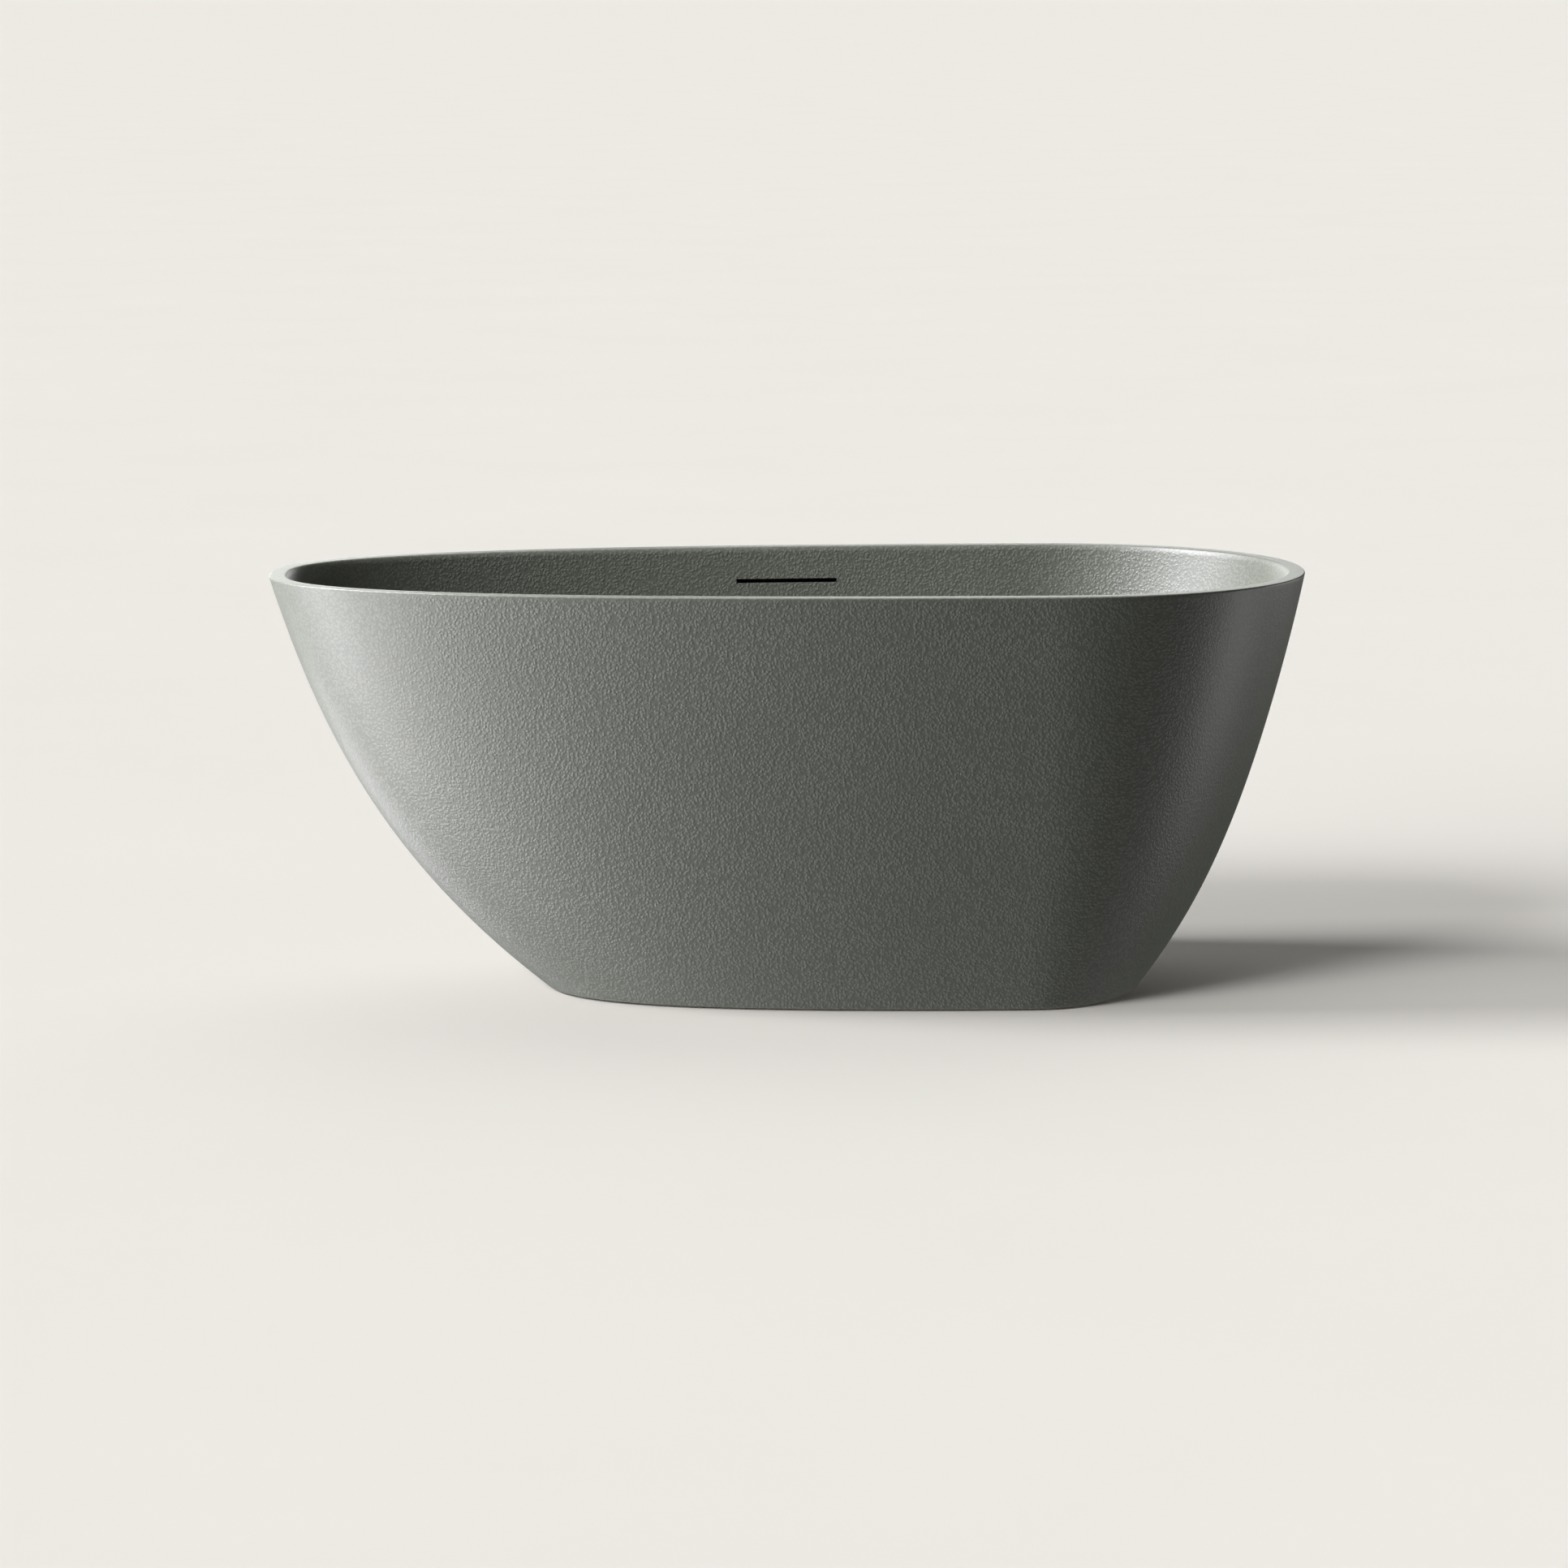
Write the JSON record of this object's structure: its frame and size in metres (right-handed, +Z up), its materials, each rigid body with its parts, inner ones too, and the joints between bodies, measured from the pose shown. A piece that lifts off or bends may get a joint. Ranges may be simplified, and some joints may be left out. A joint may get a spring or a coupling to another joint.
{
  "type": "freestanding bathtub",
  "caption": "Freestanding double-skin bathtub, matte pebbled grey-green, with slot overflow, push-to-open plug, low trap and levelling feet under a steel frame.",
  "frame": {"origin": "on the floor under the middle of the bath, the centre of the bottom of its box", "axes": "+X along the bath towards the steep end, -X towards the sloped backrest; +Y towards the overflow side; +Z up"},
  "size_m": [1.4987, 0.7356, 0.598],
  "materials": {
    "stone_skin": "matte",
    "white_plastic": "satin",
    "rubber_seal": "matte",
    "brushed_steel": "satin",
    "zinc_steel": "satin",
    "plywood": "matte",
    "adhesive": "matte"
  },
  "bodies": {
    "bath": {"outer_shell": "stone_skin", "inner_basin": "stone_skin", "overflow_chamber": "white_plastic", "overflow_hose": "white_plastic", "plug_barrel": "white_plastic", "trap_bowl": "white_plastic", "dip_tube": "white_plastic", "outlet_nut": "white_plastic", "overflow_gasket": "rubber_seal", "flange_seal": "rubber_seal", "under_basin_seal": "rubber_seal", "dip_tube_seal": "rubber_seal", "outlet_washer": "rubber_seal", "hose_clamp_top": "brushed_steel", "hose_clamp_bottom": "brushed_steel", "waste_flange": "brushed_steel", "frame_screw_front_left": "brushed_steel", "frame_screw_front_right": "brushed_steel", "frame_screw_back_left": "brushed_steel", "frame_screw_back_right": "brushed_steel", "frame_rail_front": "zinc_steel", "frame_rail_back": "zinc_steel", "cross_member_left": "zinc_steel", "cross_member_right": "zinc_steel", "foot_bush_front_left": "zinc_steel", "foot_lock_nut_front_left": "zinc_steel", "foot_bush_front_right": "zinc_steel", "foot_lock_nut_front_right": "zinc_steel", "foot_bush_back_left": "zinc_steel", "foot_lock_nut_back_left": "zinc_steel", "foot_bush_back_right": "zinc_steel", "foot_lock_nut_back_right": "zinc_steel", "base_board": "plywood", "rim_bond_bead": "adhesive"},
    "plug": {"plug_cap": "stone_skin", "plug_seal": "rubber_seal", "plug_stem": "brushed_steel"},
    "pad_front_left": {"foot_pad_front_left": "rubber_seal"},
    "stud_front_left": {"foot_stud_front_left": "zinc_steel"},
    "pad_front_right": {"foot_pad_front_right": "rubber_seal"},
    "stud_front_right": {"foot_stud_front_right": "zinc_steel"},
    "pad_back_left": {"foot_pad_back_left": "rubber_seal"},
    "stud_back_left": {"foot_stud_back_left": "zinc_steel"},
    "pad_back_right": {"foot_pad_back_right": "rubber_seal"},
    "stud_back_right": {"foot_stud_back_right": "zinc_steel"}
  },
  "joints": [
    {"name": "plug_lift", "type": "slide", "parent": "bath", "child": "plug", "axis": [0, 0, 1], "range_m": [0, 0.01]},
    {"name": "level_front_left", "type": "slide", "parent": "bath", "child": "pad_front_left", "axis": [0, 0, -1], "range_m": [0, 0.012]},
    {"name": "screw_front_left", "type": "hinge", "parent": "pad_front_left", "child": "stud_front_left", "pos_m": [-0.215, -0.1603, 0.05], "axis": [0, 0, 1], "range_deg": [0, 2470.6]},
    {"name": "level_front_right", "type": "slide", "parent": "bath", "child": "pad_front_right", "axis": [0, 0, -1], "range_m": [0, 0.012]},
    {"name": "screw_front_right", "type": "hinge", "parent": "pad_front_right", "child": "stud_front_right", "pos_m": [0.375, -0.1603, 0.05], "axis": [0, 0, 1], "range_deg": [0, 2470.6]},
    {"name": "level_back_left", "type": "slide", "parent": "bath", "child": "pad_back_left", "axis": [0, 0, -1], "range_m": [0, 0.012]},
    {"name": "screw_back_left", "type": "hinge", "parent": "pad_back_left", "child": "stud_back_left", "pos_m": [-0.215, 0.1603, 0.05], "axis": [0, 0, 1], "range_deg": [0, 2470.6]},
    {"name": "level_back_right", "type": "slide", "parent": "bath", "child": "pad_back_right", "axis": [0, 0, -1], "range_m": [0, 0.012]},
    {"name": "screw_back_right", "type": "hinge", "parent": "pad_back_right", "child": "stud_back_right", "pos_m": [0.375, 0.1603, 0.05], "axis": [0, 0, 1], "range_deg": [0, 2470.6]}
  ],
  "couplings": [
    {"joint": "screw_front_left", "follows": "level_front_left", "rad_per_m": 3590.4},
    {"joint": "screw_front_right", "follows": "level_front_right", "rad_per_m": 3590.4},
    {"joint": "screw_back_left", "follows": "level_back_left", "rad_per_m": 3590.4},
    {"joint": "screw_back_right", "follows": "level_back_right", "rad_per_m": 3590.4}
  ]
}
